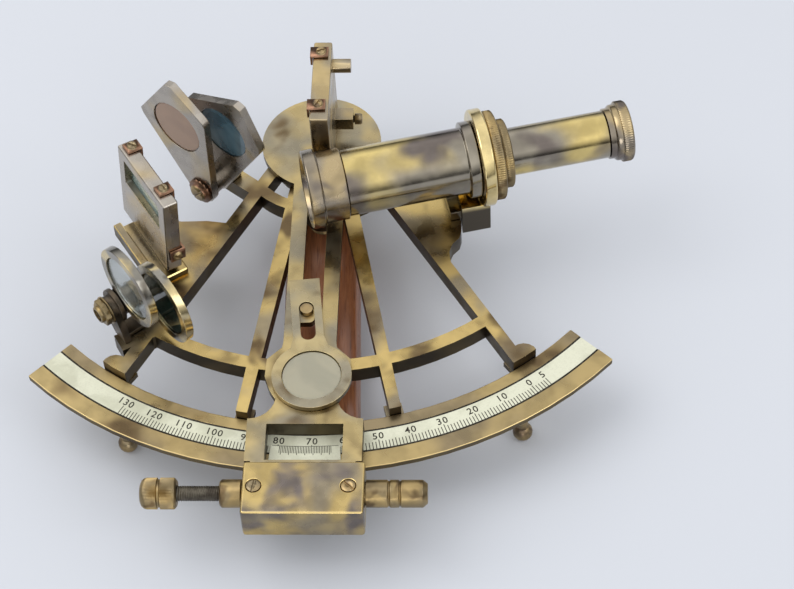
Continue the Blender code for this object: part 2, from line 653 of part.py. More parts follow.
def make_index_shades():
    """Two square shades on one axle, at different heights of swing."""
    axis = empty("index_shade_axis", DATUM, INDEX_AXLE, facing(INDEX_AXLE_ANGLE))
    plate("index_shade_bracket", "dark_brass", axis,
          [(-5.5, FRAME_TOP + GAP - INDEX_AXLE[2]), (5.5, FRAME_TOP + GAP - INDEX_AXLE[2]),
           *arc((0, 0.5), 5.5, 0, 180, 6)], 11.2, 16.4, (circle((0, 0), 2.3 + GAP, 16),))
    glass_at = (9.6, 31.8)
    loop = [(-6.6, 22.0), *arc((0, 0), 6.4, 165, 315, 6), (28.6, 27.8), (29.6, 30.8), (13.2, 54.6),
            (9.8, 55.4), (-6.0, 44.4), (-7.2, 42.2)]
    for i, (swing, station, kind) in enumerate(((0, 0.0, "rose_glass"), (30, 9.0, "blue_glass"))):
        name = "index_shade_%d" % (i + 1)
        swung = about_z(swing)
        eye = circle((0, 0), 2.3 + FIT, 16)
        shade = plate(name, "brass", axis, loop, station - 1.7, station + 1.7,
                      (circle(glass_at, 12.3, 28), eye), (0, 0, 0), swung)
        if i:
            join(shade, plate(name + "_boss", None, axis, circle((0, 0), 5.4, 16), 2.0,
                              station - 1.2, (eye,), (0, 0, 0), swung))
        rod(name + "_glass", kind, axis, 12.0, station - 1.2, station + 1.2, 28,
            swung @ Vector((*glass_at, 0)), swung)
    turned("index_shade_screw", "copper", axis,
           [(0, 18.0), (2.3, 18.0), (2.3, -2.0), (5.8, -2.0), (5.8, -3.0), (4.3, -3.1),
            (4.1, -4.3), (3.0, -5.0), (0, -5.2)], 16)


def make_horizon_shades():
    """Two round shades on a bolt between two posts."""
    axis = empty("horizon_shade_axis", DATUM, HORIZON_AXLE, facing(HORIZON_AXLE_ANGLE))
    foot = FRAME_TOP + GAP - HORIZON_AXLE[2]
    outer = [(-10.2, foot), (-2.8, foot), (4.6, -3.0), *arc((0, 0), 5.4, -30, 190, 8), (-8.4, -7.0)]
    fork = plate("horizon_shade_fork", "dark_brass", axis, outer, -6.4, -3.4)
    inner = [(-4.4, foot), (4.4, foot), *arc((0, 0), 4.4, 0, 180, 6)]
    join(fork, plate("fork_inner", None, axis, inner, 13.0, 16.4),
         block("fork_base", None, axis, (-8.0, foot + 0.2, -6.0), (-1.0, foot + 1.8, 16.0)),
         rod("fork_boss", None, axis, 7.2, -4.0, -2.0, 20))
    cut(fork, rod("fork_bore", None, axis, 2.3 + GAP, -20, 20, 16))
    start = 180 - math.degrees(math.asin(5.4 / RING_R))
    loop = [*arc((RING_REACH, 0), RING_R, -start, start, 32), *arc((0, 0), 5.4, 90, 270, 8)]
    for i, (swing, station, kind) in enumerate(((118, 0.0, "clear_glass"), (150, 9.3, "green_glass"))):
        name = "horizon_shade_%d" % (i + 1)
        swung = about_z(swing)
        eye = circle((0, 0), 2.3 + FIT, 16)
        ring = plate(name, "brass", axis, loop, station - 1.7, station + 1.7,
                     (circle((RING_REACH, 0), RING_BORE, 32), eye), (0, 0, 0), swung)
        if not i:
            join(ring, plate(name + "_boss", None, axis, circle((0, 0), 5.0, 16), 1.2, 7.3, (eye,),
                             (0, 0, 0), swung))
        centre = swung @ Vector((RING_REACH, 0, 0))
        rod(name + "_glass", kind, axis, RING_BORE - GAP, station - 1.0, station + 1.0, 32, centre,
            swung)
    turned("shade_bolt", "steel", axis,
           [(0, 19.0), (4.0, 19.0), (4.0, 16.7), (2.3, 16.7), (2.3, -10.0), (0, -10.0)], 16)
    turned("shade_nut", "copper", axis,
           [(6.0, -6.7), (6.0, -8.0), (4.6, -8.1), (4.6, -10.6), (3.9, -11.2), (2.6, -11.2),
            (2.6, -6.7)], 16)


# ---------------------------------------------------------------- telescope

def make_telescope():
    axis = empty("telescope_axis", DATUM, (*TELESCOPE_FRONT, SIGHT_Z), facing(TELESCOPE_ANGLE))
    turned("objective_cell", "brass", axis,
           [(14.6, 12.8), (14.6, 3.2), (15.2, 2.9), (16.0, 2.6), (16.0, -2.0), (15.4, -2.5),
            (13.4, -2.5), (12.3, 0.5), (12.3, 12.8)], 36)
    turned("objective_lens", "lens", axis,
           [(0, 5.2), (8, 4.8), (12.0, 3.6), (12.0, 1.6), (8, 0.4), (0, 0.0)], 28)
    turned("main_tube", "brass", axis,
           [(13.2, 75.8), (13.2, 66.6), (15.6, 66.6), (15.6, 62.4), (TUBE_R, 62.2), (TUBE_R, 13.1),
            (TUBE_BORE, 13.1), (TUBE_BORE, 75.8)], 36)
    holder = turned("telescope_holder", "bright_brass", axis,
                    [(19.9, 71.4), (19.9, 67.4), (19.4, 66.9), (13.5, 66.9), (13.5, 71.9),
                     (19.4, 71.9)], 40)
    low = FRAME_BOTTOM - SIGHT_Z
    web_top = FRAME_TOP + GAP - SIGHT_Z
    join(holder, block("holder_post", None, axis, (-10.2, low, 59.0), (9.0, -18.0, 70.9)),
         block("holder_flange", None, axis, (-8.8, web_top, 54.5), (9.0, web_top + 4.5, 60.0)))
    turned("clamp_ring", "brass", axis,
           [(18.2, 75.8), (18.2, 72.8), (17.6, 72.2), (13.2 + FIT, 72.2), (13.2 + FIT, 76.4),
            (17.6, 76.4)], 36)
    turned("tube_end_ring", "brass", axis,
           [(14.0, 80.0), (14.0, 77.3), (13.4, 76.7), (12.1, 76.7), (12.1, 70.0),
            (DRAW_R + FIT, 70.0), (DRAW_R + FIT, 80.6), (13.4, 80.6)], 32)
    turned("draw_tube", "brass", axis,
           [(DRAW_R, 121.0), (DRAW_R, 40.0), (8.6, 40.0), (8.6, 121.0)], 32)
    turned("eyepiece", "brass", axis,
           [(11.6, 130.6), (12.4, 129.6), (12.4, 126.6), (11.5, 126.1), (11.4, 123.9),
            (10.4, 123.5), (10.3, 121.3), (6.0, 121.3), (6.0, 128.8), (7.6, 130.6)], 28)
    turned("eye_lens", "lens", axis,
           [(0, 128.6), (4, 128.2), (5.7, 127.4), (5.7, 125.6), (0, 125.4)], 20)


# ---------------------------------------------------------------- the whole object

make_frame()
make_limb()
make_feet()
make_grip()
make_arm()
make_pivot()
make_vernier()
make_magnifier()
make_box()
make_tangent_screw()
make_clamp()
make_index_mirror()
make_horizon_mirror()
make_index_shades()
make_horizon_shades()
make_telescope()
bpy.context.view_layer.update()
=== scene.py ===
# Looks of the nautical sextant: finishes, engraved scale, knurling, thread and screw slots,
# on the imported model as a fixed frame.

import json
import math

import bmesh
import bpy
from mathutils import Matrix, Vector

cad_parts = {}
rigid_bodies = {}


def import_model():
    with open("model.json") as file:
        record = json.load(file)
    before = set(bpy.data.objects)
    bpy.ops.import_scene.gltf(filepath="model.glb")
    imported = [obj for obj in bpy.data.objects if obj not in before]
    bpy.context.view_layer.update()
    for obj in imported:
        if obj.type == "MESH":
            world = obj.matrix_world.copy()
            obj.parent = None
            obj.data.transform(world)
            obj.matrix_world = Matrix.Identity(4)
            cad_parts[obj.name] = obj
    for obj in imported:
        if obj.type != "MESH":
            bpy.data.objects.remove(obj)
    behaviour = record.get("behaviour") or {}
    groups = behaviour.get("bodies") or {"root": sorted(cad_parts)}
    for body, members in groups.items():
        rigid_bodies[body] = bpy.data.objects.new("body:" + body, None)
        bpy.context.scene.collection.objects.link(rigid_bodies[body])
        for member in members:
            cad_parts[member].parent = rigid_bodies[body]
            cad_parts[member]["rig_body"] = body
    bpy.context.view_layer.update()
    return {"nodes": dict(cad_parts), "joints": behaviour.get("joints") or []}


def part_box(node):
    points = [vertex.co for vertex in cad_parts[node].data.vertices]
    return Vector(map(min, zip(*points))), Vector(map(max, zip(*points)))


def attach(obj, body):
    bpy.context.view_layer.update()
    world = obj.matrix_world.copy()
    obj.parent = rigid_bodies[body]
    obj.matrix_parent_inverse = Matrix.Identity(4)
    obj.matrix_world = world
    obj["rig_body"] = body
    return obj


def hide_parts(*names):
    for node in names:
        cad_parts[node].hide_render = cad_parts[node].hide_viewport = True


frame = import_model()

MM = 0.001
NODES = frame["nodes"]
JOINTS = {joint["name"]: joint for joint in frame["joints"]}


# ---------------------------------------------------------------- places

def facing(angle):
    """Axes of an upright plane whose normal (local Z) points at angle, in degrees from X."""
    a = math.radians(angle)
    normal = Vector((math.cos(a), math.sin(a), 0))
    level = Vector((-math.sin(a), math.cos(a), 0))
    return Matrix((level, Vector((0, 0, 1)), normal)).transposed().to_4x4()


def moved(x, y, z):
    """A shift in millimetres."""
    return Matrix.Translation(Vector((x, y, z)) * MM)


def rotated(angle, axis):
    """A rotation in degrees about the axis of that letter."""
    return Matrix.Rotation(math.radians(angle), 4, axis)


def heading(axis):
    return math.degrees(math.atan2(axis[1], axis[0]))


# DATUM is the pivot at the height of the limb's top, and ARM is turned with the index arm,
# whose clamp feeds across it. The places that follow are measured from these two.
pivot = Vector(JOINTS["index_arm_swing"]["pos_m"])
DATUM = Matrix.Translation((pivot.x, pivot.y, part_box("limb")[1].z))
feed = Vector(JOINTS["clamp_feed"]["axis"])
if feed.x < 0:
    feed = -feed
ARM = DATUM @ rotated(heading(feed), "Z")
TANGENT = ARM @ moved(0, -172, 3) @ facing(0)
ADJUSTER = ARM @ moved(0, 3, 19) @ facing(0)
TELESCOPE = DATUM @ moved(-2, -44.5, 30) @ facing(11.7)
HORIZON_MIRROR = (DATUM @ moved(-68.3, -52.3, 0) @ facing(31)
                  @ moved(0, 12, -2.6) @ rotated(4, "X") @ moved(0, 0, 6.6))
INDEX_SHADES = DATUM @ moved(-48.2, -22.9, 8) @ facing(50)
HORIZON_SHADES = DATUM @ moved(-77.4, -88.5, 17) @ facing(37)


# ---------------------------------------------------------------- finishes

# Noise scales are per metre, so 1000 / size gives patches of about size millimetres.

class Finish:
    """A node material built step by step."""

    def __init__(self, name):
        self.material = bpy.data.materials.new(name)
        self.material.use_nodes = True
        self.tree = self.material.node_tree
        self.shader = self.tree.nodes["Principled BSDF"]
        self.place = self.tree.nodes.new("ShaderNodeTexCoord")

    def link(self, start, end):
        self.tree.links.new(start, end)

    def mapped(self, shift=(0, 0, 0), stretch=(1, 1, 1), angle=0.0):
        node = self.tree.nodes.new("ShaderNodeMapping")
        node.inputs["Location"].default_value = shift
        node.inputs["Rotation"].default_value = (0, 0, math.radians(angle))
        node.inputs["Scale"].default_value = stretch
        self.link(self.place.outputs["Object"], node.inputs["Vector"])
        return node.outputs["Vector"]

    def noise(self, vector, scale, detail=3.0, rough=0.55, twist=0.0):
        node = self.tree.nodes.new("ShaderNodeTexNoise")
        node.inputs["Scale"].default_value = scale
        node.inputs["Detail"].default_value = detail
        node.inputs["Roughness"].default_value = rough
        node.inputs["Distortion"].default_value = twist
        self.link(vector, node.inputs["Vector"])
        return node.outputs["Fac"]

    def span(self, value, low, high, to_low=0.0, to_high=1.0):
        node = self.tree.nodes.new("ShaderNodeMapRange")
        node.interpolation_type = "SMOOTHSTEP"
        for key, number in (("From Min", low), ("From Max", high),
                            ("To Min", to_low), ("To Max", to_high)):
            node.inputs[key].default_value = number
        self.link(value, node.inputs["Value"])
        return node.outputs["Result"]

    def math(self, kind, a, b):
        node = self.tree.nodes.new("ShaderNodeMath")
        node.operation = kind
        for socket, value in zip(node.inputs, (a, b)):
            if isinstance(value, (int, float)):
                socket.default_value = value
            else:
                self.link(value, socket)
        return node.outputs["Value"]

    def mix(self, factor, a, b, kind="MIX"):
        node = self.tree.nodes.new("ShaderNodeMix")
        node.data_type = "RGBA"
        node.blend_type = kind
        for index, value in ((0, factor), (6, a), (7, b)):
            if isinstance(value, (int, float)):
                node.inputs[index].default_value = value
            elif isinstance(value, tuple):
                node.inputs[index].default_value = (*value, 1.0)
            else:
                self.link(value, node.inputs[index])
        return node.outputs[2]

    def bump(self, height, strength, distance):
        node = self.tree.nodes.new("ShaderNodeBump")
        node.inputs["Strength"].default_value = strength
        node.inputs["Distance"].default_value = distance
        self.link(height, node.inputs["Height"])
        self.link(node.outputs["Normal"], self.shader.inputs["Normal"])

    def upward(self):
        """How far a face looks up or down: 1 on flat faces, 0 on walls."""
        node = self.tree.nodes.new("ShaderNodeSeparateXYZ")
        self.link(self.place.outputs["Normal"], node.inputs["Vector"])
        return self.math("ABSOLUTE", node.outputs["Z"], 0.0)


EDGE_HIGHLIGHT_GAIN = 1.75                       # painted highlight on the rounded edges, brighter than the gold
# Painted shade on the upright faces: its near-black tone and the roughness it adds.
WALL_SHADE_TONE, WALL_ROUGH = (0.034, 0.027, 0.021), 0.14
SHADE_FADE = 3.0                        # millimetres over which the painted shade below a height fades in


def brass(name, gold, grey, dark, size=24.0, greyed=(0.42, 0.60), darkened=(0.55, 0.72),
          rough=(0.20, 0.40), wall_shade=0.0, edge=0.0, seed=0.0, brushed=None, shade_below=None):
    """Aged brass: blotches of gold, grey and dark tarnish, size in millimetres.

    greyed and darkened are the noise levels where each tarnish starts and is full. wall_shade
    paints shade on the upright faces and edge paints a highlight on the rounded edges of a flat
    casting. brushed is the direction, in degrees, of fine rubbing marks. Below the height
    shade_below, in millimetres, the brass is painted all dark, as shade."""
    f = Finish(name)
    place = f.mapped((seed, seed * 0.7, seed * 1.3))
    large = f.noise(place, 1000.0 / size, 1.6, 0.45, 0.25)
    second = f.noise(f.mapped((seed * 2.1, 3.0, seed)), 1250.0 / size, 2.0, 0.5, 0.3)
    small = f.noise(place, 130.0, 2.5, 0.5, 0.2)
    fine = f.noise(place, 2600.0, 2.0, 0.6)
    grey_mask = f.span(large, *greyed)
    dark_mask = f.span(second, *darkened)
    tone = f.mix(grey_mask, gold, grey)
    tone = f.mix(dark_mask, tone, dark)
    mottle = f.mix(f.span(small, 0.30, 0.70), (0.86, 0.85, 0.83), (1.10, 1.09, 1.06))
    tone = f.mix(1.0, tone, mottle, "MULTIPLY")
    uneven = f.span(small, 0.3, 0.7, rough[0], rough[1])
    # Painted highlight: the faces of the rounded edges turn a brighter gold.
    if edge:
        up = f.upward()
        rim_highlight = f.math("MULTIPLY", f.span(up, 0.35, 0.62), f.span(up, 0.995, 0.90))
        bright = tuple(min(1.0, c * EDGE_HIGHLIGHT_GAIN) for c in gold)
        tone = f.mix(f.math("MULTIPLY", rim_highlight, edge), tone, bright)
    # Painted shade: the upright faces are darkened, unevenly, towards a near-black tone.
    if wall_shade:
        upright = f.span(f.upward(), 0.45, 0.12)
        patchy = f.span(large, 0.30, 0.66, 1.0, 0.80)
        shade = f.math("MULTIPLY", f.math("MULTIPLY", upright, patchy), wall_shade)
        tone = f.mix(shade, tone, WALL_SHADE_TONE)
        uneven = f.math("ADD", uneven, f.math("MULTIPLY", shade, WALL_ROUGH))
    # Painted shade: below the given height the brass is dark, as the holder's post in the shade
    # under the telescope ring.
    if shade_below:
        split = f.tree.nodes.new("ShaderNodeSeparateXYZ")
        f.link(f.place.outputs["Object"], split.inputs["Vector"])
        low = f.span(split.outputs["Z"], shade_below * MM, (shade_below - SHADE_FADE) * MM)
        tone = f.mix(low, tone, dark)
    f.link(tone, f.shader.inputs["Base Color"])
    f.link(uneven, f.shader.inputs["Roughness"])
    f.shader.inputs["Metallic"].default_value = 1.0
    marks = f.noise(f.mapped((seed, 0, 0), (90, 1500, 90), brushed or 0.0), 1.0, 3.0, 0.7)
    height = f.math("ADD", f.math("MULTIPLY", marks, 0.6 if brushed is not None else 0.25),
                    f.math("MULTIPLY", fine, 0.25))
    f.bump(height, 0.20, 0.000014)
    return f.material


def metal(name, tone, worn, rough=0.35, size=6.0, seed=0.0):
    """A plain small metal piece with uneven tarnish."""
    f = Finish(name)
    place = f.mapped((seed, 1.0, seed))
    cloud = f.noise(place, 1000.0 / size, 4.0, 0.6, 0.4)
    fine = f.noise(place, 1900.0, 3.0, 0.6)
    f.link(f.mix(f.span(cloud, 0.36, 0.64), tone, worn), f.shader.inputs["Base Color"])
    f.link(f.span(fine, 0.3, 0.7, rough - 0.08, rough + 0.12), f.shader.inputs["Roughness"])
    f.shader.inputs["Metallic"].default_value = 1.0
    f.bump(fine, 0.2, 0.0001)
    return f.material


def silvered(name):
    """Silvered scale: a pale greenish cream with faint stains and grain."""
    f = Finish(name)
    place = f.mapped()
    stain = f.noise(place, 60.0, 5.0, 0.6, 0.4)
    fine = f.noise(place, 1500.0, 3.0, 0.6)
    tone = f.mix(f.span(stain, 0.40, 0.66), (0.68, 0.68, 0.535), (0.54, 0.54, 0.41))
    tone = f.mix(f.span(fine, 0.45, 0.75, 0.0, 0.35), tone, (0.50, 0.49, 0.38))
    f.link(tone, f.shader.inputs["Base Color"])
    f.link(f.span(fine, 0.3, 0.7, 0.34, 0.50), f.shader.inputs["Roughness"])
    f.shader.inputs["Metallic"].default_value = 0.25
    f.bump(fine, 0.12, 0.00008)
    return f.material


def wood(name):
    """Reddish hardwood with its grain along Y."""
    f = Finish(name)
    warp = f.mapped((0, 0, 0), (1.0, 0.10, 1.0))
    broad = f.noise(warp, 170.0, 5.0, 0.6, 1.2)
    pores = f.noise(f.mapped((0, 0, 0), (1.0, 0.045, 1.0)), 1700.0, 3.0, 0.65)
    tone = f.mix(f.span(broad, 0.32, 0.70), (0.43, 0.165, 0.070), (0.25, 0.086, 0.036))
    tone = f.mix(f.span(pores, 0.52, 0.74, 0.0, 0.75), tone, (0.085, 0.028, 0.014))
    f.link(tone, f.shader.inputs["Base Color"])
    f.link(f.span(pores, 0.3, 0.7, 0.26, 0.46), f.shader.inputs["Roughness"])
    f.shader.inputs["Coat Weight"].default_value = 0.35
    f.shader.inputs["Coat Roughness"].default_value = 0.18
    f.bump(pores, 0.25, 0.00015)
    return f.material


def glass(name, tone, second, clear, rough=0.03, size=14.0, seed=0.0):
    """Coloured or clear glass, faintly smeared."""
    f = Finish(name)
    smear = f.noise(f.mapped((seed, seed, 0)), 1000.0 / size, 3.0, 0.5, 0.6)
    f.link(f.mix(f.span(smear, 0.42, 0.62), tone, second), f.shader.inputs["Base Color"])
    f.link(f.span(smear, 0.3, 0.7, rough, rough + 0.05), f.shader.inputs["Roughness"])
    f.shader.inputs["Transmission Weight"].default_value = clear
    f.shader.inputs["IOR"].default_value = 1.5
    return f.material


def mirror(name):
    """Old mirror glass, slightly dulled in patches."""
    f = Finish(name)
    smear = f.noise(f.mapped(), 90.0, 4.0, 0.6, 0.5)
    f.link(f.mix(f.span(smear, 0.4, 0.7), (0.82, 0.85, 0.84), (0.70, 0.74, 0.73)),
           f.shader.inputs["Base Color"])
    f.link(f.span(smear, 0.3, 0.7, 0.02, 0.07), f.shader.inputs["Roughness"])
    f.shader.inputs["Metallic"].default_value = 1.0
    return f.material


def ink(name):
    """Dark filling of engraved lines, and painted shade in the gaps along the silvered scale's
    edges.
    """
    f = Finish(name)
    cloud = f.noise(f.mapped(), 700.0, 3.0, 0.6)
    f.link(f.mix(f.span(cloud, 0.35, 0.7), (0.020, 0.018, 0.014), (0.060, 0.052, 0.040)),
           f.shader.inputs["Base Color"])
    f.link(f.span(cloud, 0.3, 0.7, 0.5, 0.7), f.shader.inputs["Roughness"])
    f.shader.inputs["Specular IOR Level"].default_value = 0.08
    return f.material


GOLD, PALE, GREY = (0.57, 0.425, 0.175), (0.66, 0.54, 0.30), (0.30, 0.25, 0.17)
BROWN, VIOLET = (0.155, 0.108, 0.058), (0.185, 0.158, 0.145)

# wall_shade values paint shade on upright faces, and edge values paint highlights on rounded
# edges.
LOOKS = {
    "casting": brass("casting", GOLD, GREY, BROWN, 22, (0.43, 0.60), (0.49, 0.70),
                     (0.22, 0.38), wall_shade=0.95, edge=0.9, seed=1.7, brushed=0.0),
    "limb": brass("limb", (0.44, 0.335, 0.16), (0.285, 0.225, 0.135), BROWN, 34, (0.42, 0.62),
                  (0.56, 0.72), (0.26, 0.42), wall_shade=0.75, edge=0.9, seed=4.2, brushed=8.0),
    "arm": brass("arm", (0.50, 0.39, 0.19), (0.30, 0.265, 0.195), BROWN, 22, (0.40, 0.60),
                 (0.54, 0.74), (0.22, 0.38), wall_shade=0.85, edge=1.0, seed=7.5, brushed=90.0),
    "reader": brass("reader", (0.50, 0.405, 0.22), (0.33, 0.295, 0.22), BROWN, 20, (0.38, 0.60),
                    (0.56, 0.76), (0.22, 0.36), wall_shade=0.35, edge=0.9, seed=9.1, brushed=30.0),
    "box": brass("box", (0.52, 0.39, 0.165), (0.29, 0.245, 0.175), VIOLET, 19, (0.40, 0.62),
                 (0.46, 0.68), (0.18, 0.34), edge=0.8, seed=12.4),
    "knob": brass("knob", (0.40, 0.295, 0.14), (0.27, 0.21, 0.12), BROWN, 9, (0.40, 0.60),
                  (0.52, 0.70), (0.28, 0.42), seed=15.0),
    "small": brass("small", (0.42, 0.31, 0.16), (0.30, 0.24, 0.15), (0.14, 0.10, 0.07), 8,
                   (0.40, 0.60), (0.52, 0.70), (0.28, 0.45), seed=18.0),
    "plain": brass("plain", (0.50, 0.385, 0.20), (0.33, 0.285, 0.215), (0.18, 0.145, 0.105), 22,
                   (0.36, 0.56), (0.60, 0.78), (0.22, 0.36), seed=21.0, edge=0.4),
    "grey": brass("grey", (0.50, 0.405, 0.26), (0.42, 0.385, 0.345), (0.24, 0.21, 0.185), 24,
                  (0.34, 0.52), (0.62, 0.78), (0.20, 0.34), seed=24.0),
    "shade_ring": brass("shade_ring", PALE, (0.28, 0.265, 0.235), (0.10, 0.09, 0.075), 13,
                        (0.40, 0.58), (0.56, 0.70), (0.14, 0.28), seed=27.0),
    "tube": brass("tube", (0.66, 0.52, 0.215), (0.31, 0.28, 0.23), VIOLET, 30, (0.42, 0.58),
                  (0.50, 0.66), (0.10, 0.20), seed=31.3),
    "cell": brass("cell", (0.44, 0.345, 0.20), (0.29, 0.25, 0.20), (0.17, 0.145, 0.13), 18,
                  (0.40, 0.58), (0.54, 0.70), (0.16, 0.28), seed=35.0),
    # The telescope holder's post under its ring takes painted shade, below 41 mm.
    "bright": brass("bright", (0.84, 0.68, 0.34), (0.66, 0.54, 0.30), (0.10, 0.085, 0.065), 14,
                    (0.46, 0.66), (0.72, 0.90), (0.10, 0.22), seed=38.0, shade_below=41.0),
    "dark": brass("dark", (0.13, 0.105, 0.08), (0.085, 0.075, 0.065), (0.045, 0.038, 0.03), 12,
                  (0.40, 0.60), (0.50, 0.66), (0.30, 0.48), seed=41.0),
    "copper": metal("copper", (0.36, 0.195, 0.125), (0.20, 0.12, 0.078), 0.36, 5.0, 2.0),
    "steel": metal("steel", (0.42, 0.41, 0.38), (0.26, 0.245, 0.22), 0.34, 6.0, 3.0),
    "thread": metal("thread", (0.13, 0.115, 0.09), (0.06, 0.05, 0.04), 0.42, 5.0, 5.0),
    "silvered": silvered("silvered"),
    "wood": wood("wood"),
    "mirror": mirror("mirror"),
    "window": glass("window", (0.46, 0.56, 0.50), (0.34, 0.43, 0.38), 0.70),
    "rose": glass("rose", (0.40, 0.255, 0.165), (0.34, 0.215, 0.14), 0.12, 0.12, 30.0),
    "blue": glass("blue", (0.11, 0.19, 0.235), (0.055, 0.11, 0.145), 0.35, 0.04, 16.0, 4.0),
    "clear": glass("clear", (0.56, 0.60, 0.59), (0.42, 0.46, 0.45), 0.85),
    "green": glass("green", (0.020, 0.050, 0.042), (0.008, 0.020, 0.018), 0.55, 0.03, 12.0, 7.0),
    "lens": glass("lens", (0.66, 0.62, 0.47), (0.58, 0.55, 0.42), 0.55, 0.07, 20.0, 9.0),
    "ink": ink("ink"),
}

FINISHED = {
    "casting": ("frame", "horizon_mirror_base"),
    "limb": ("limb",),
    "silvered": ("scale_arc", "vernier_plate"),
    "small": ("magnifier_stud", "mirror_adjuster", "foot_left", "foot_right", "foot_rear",
              "handle_post_upper", "handle_post_lower", "pivot_nut", "cover_screw_1",
              "cover_screw_2", "clamp_screw", "shade_nut"),
    "wood": ("handle_grip",),
    "arm": ("index_arm",),
    "steel": ("index_shaft", "return_spring", "spring_plunger", "shade_bolt"),
    "reader": ("magnifier_frame",),
    "lens": ("magnifier_lens", "objective_lens", "eye_lens"),
    "dark": ("clamp_block", "index_shade_bracket", "horizon_shade_fork"),
    "box": ("box_cover",),
    "knob": ("tangent_knob", "screw_collar", "spring_barrel"),
    "thread": ("tangent_screw",),
    "plain": ("index_mirror_frame",),
    "grey": ("horizon_mirror_frame", "index_shade_1", "index_shade_2"),
    "mirror": ("index_mirror_glass",),
    "copper": ("index_clip_1", "index_clip_2", "horizon_clip_1", "horizon_clip_2",
               "horizon_clip_3", "index_shade_screw"),
    "window": ("horizon_mirror_glass",),
    "rose": ("index_shade_1_glass",),
    "blue": ("index_shade_2_glass",),
    "shade_ring": ("horizon_shade_1", "horizon_shade_2"),
    "clear": ("horizon_shade_1_glass",),
    "green": ("horizon_shade_2_glass",),
    "bright": ("telescope_holder",),
    "tube": ("main_tube", "draw_tube"),
    "cell": ("objective_cell", "clamp_ring", "tube_end_ring", "eyepiece"),
}
LOOK_OF = {node: look for look, nodes in FINISHED.items() for node in nodes}


def finish(piece, look):
    piece.data.materials.clear()
    piece.data.materials.append(LOOKS[look])


# ---------------------------------------------------------------- softened edges

SHARP = math.radians(32)               # edges bent more than this stay sharp
WELD = 0.000002                        # metres
EDGE_WIDTH = {"frame": 0.45, "limb": 0.4, "index_arm": 0.45, "box_cover": 0.3,
              "magnifier_frame": 0.45, "handle_grip": 0.5, "scale_arc": 0.0, "vernier_plate": 0.1,
              "return_spring": 0.0, "magnifier_lens": 0.0, "objective_lens": 0.0, "eye_lens": 0.0,
              "index_mirror_frame": 0.3, "horizon_mirror_frame": 0.3, "main_tube": 0.25,
              "draw_tube": 0.25, "objective_cell": 0.25, "telescope_holder": 0.4}
PLAIN_WIDTH = 0.2                      # of the edges of every other piece


def smoothing():
    """Nodes that weld the mesh and shade it smooth, except across its sharp edges."""
    group = bpy.data.node_groups.new("weld_and_smooth", "GeometryNodeTree")
    for way in ("INPUT", "OUTPUT"):
        group.interface.new_socket("Geometry", in_out=way, socket_type="NodeSocketGeometry")
    nodes, links = group.nodes, group.links
    start, end = nodes.new("NodeGroupInput"), nodes.new("NodeGroupOutput")
    plain = nodes.new("GeometryNodeRemoveAttribute")
    plain.inputs["Name"].default_value = "custom_normal"
    weld = nodes.new("GeometryNodeMergeByDistance")
    weld.inputs["Distance"].default_value = WELD
    faces = nodes.new("GeometryNodeSetShadeSmooth")
    faces.domain = "FACE"
    angle = nodes.new("GeometryNodeInputMeshEdgeAngle")
    over = nodes.new("FunctionNodeCompare")
    over.data_type = "FLOAT"
    over.operation = "GREATER_THAN"
    over.inputs[1].default_value = SHARP
    edges = nodes.new("GeometryNodeSetShadeSmooth")
    edges.domain = "EDGE"
    edges.inputs["Shade Smooth"].default_value = False
    links.new(start.outputs[0], plain.inputs["Geometry"])
    links.new(plain.outputs["Geometry"], weld.inputs["Geometry"])
    links.new(weld.outputs["Geometry"], faces.inputs["Geometry"])
    links.new(faces.outputs["Geometry"], edges.inputs["Geometry"])
    links.new(angle.outputs["Unsigned Angle"], over.inputs[0])
    links.new(over.outputs["Result"], edges.inputs["Selection"])
    links.new(edges.outputs["Geometry"], end.inputs[0])
    return group


SMOOTHING = smoothing()


def soften(piece, width):
    """Weld, smooth shading and rounded edges, their width in millimetres."""
    piece.modifiers.new("smooth", "NODES").node_group = SMOOTHING
    if width:
        edge = piece.modifiers.new("edges", "BEVEL")
        edge.width = width * MM
        edge.segments = 2
        edge.limit_method = "ANGLE"
        edge.angle_limit = SHARP
        edge.use_clamp_overlap = True
        even = piece.modifiers.new("even", "WEIGHTED_NORMAL")
        even.keep_sharp = True
        even.weight = 60


# ---------------------------------------------------------------- pieces of their own

def add_object(name, data):
    made = bpy.data.objects.new(name, data)
    bpy.context.scene.collection.objects.link(made)
    return made


def evaluated_mesh(made):
    """The mesh of an object with its modifiers, or of a text curve."""
    bpy.context.view_layer.update()
    depsgraph = bpy.context.evaluated_depsgraph_get()
    return bpy.data.meshes.new_from_object(made.evaluated_get(depsgraph))


def piece_from(bm, name, look, body, stands_for=(), smooth=35.0):
    """A visible piece from bm, riding body. Edges bent more than smooth degrees are sharp, and
    stands_for names the CAD nodes that it replaces."""
    bmesh.ops.recalc_face_normals(bm, faces=bm.faces)
    mesh = bpy.data.meshes.new(name)
    bm.to_mesh(mesh)
    bm.free()
    mesh.shade_smooth()
    mesh.set_sharp_from_angle(angle=math.radians(smooth))
    made = add_object(name, mesh)
    finish(made, look)
    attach(made, body)
    if stands_for:
        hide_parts(*stands_for)
    return made


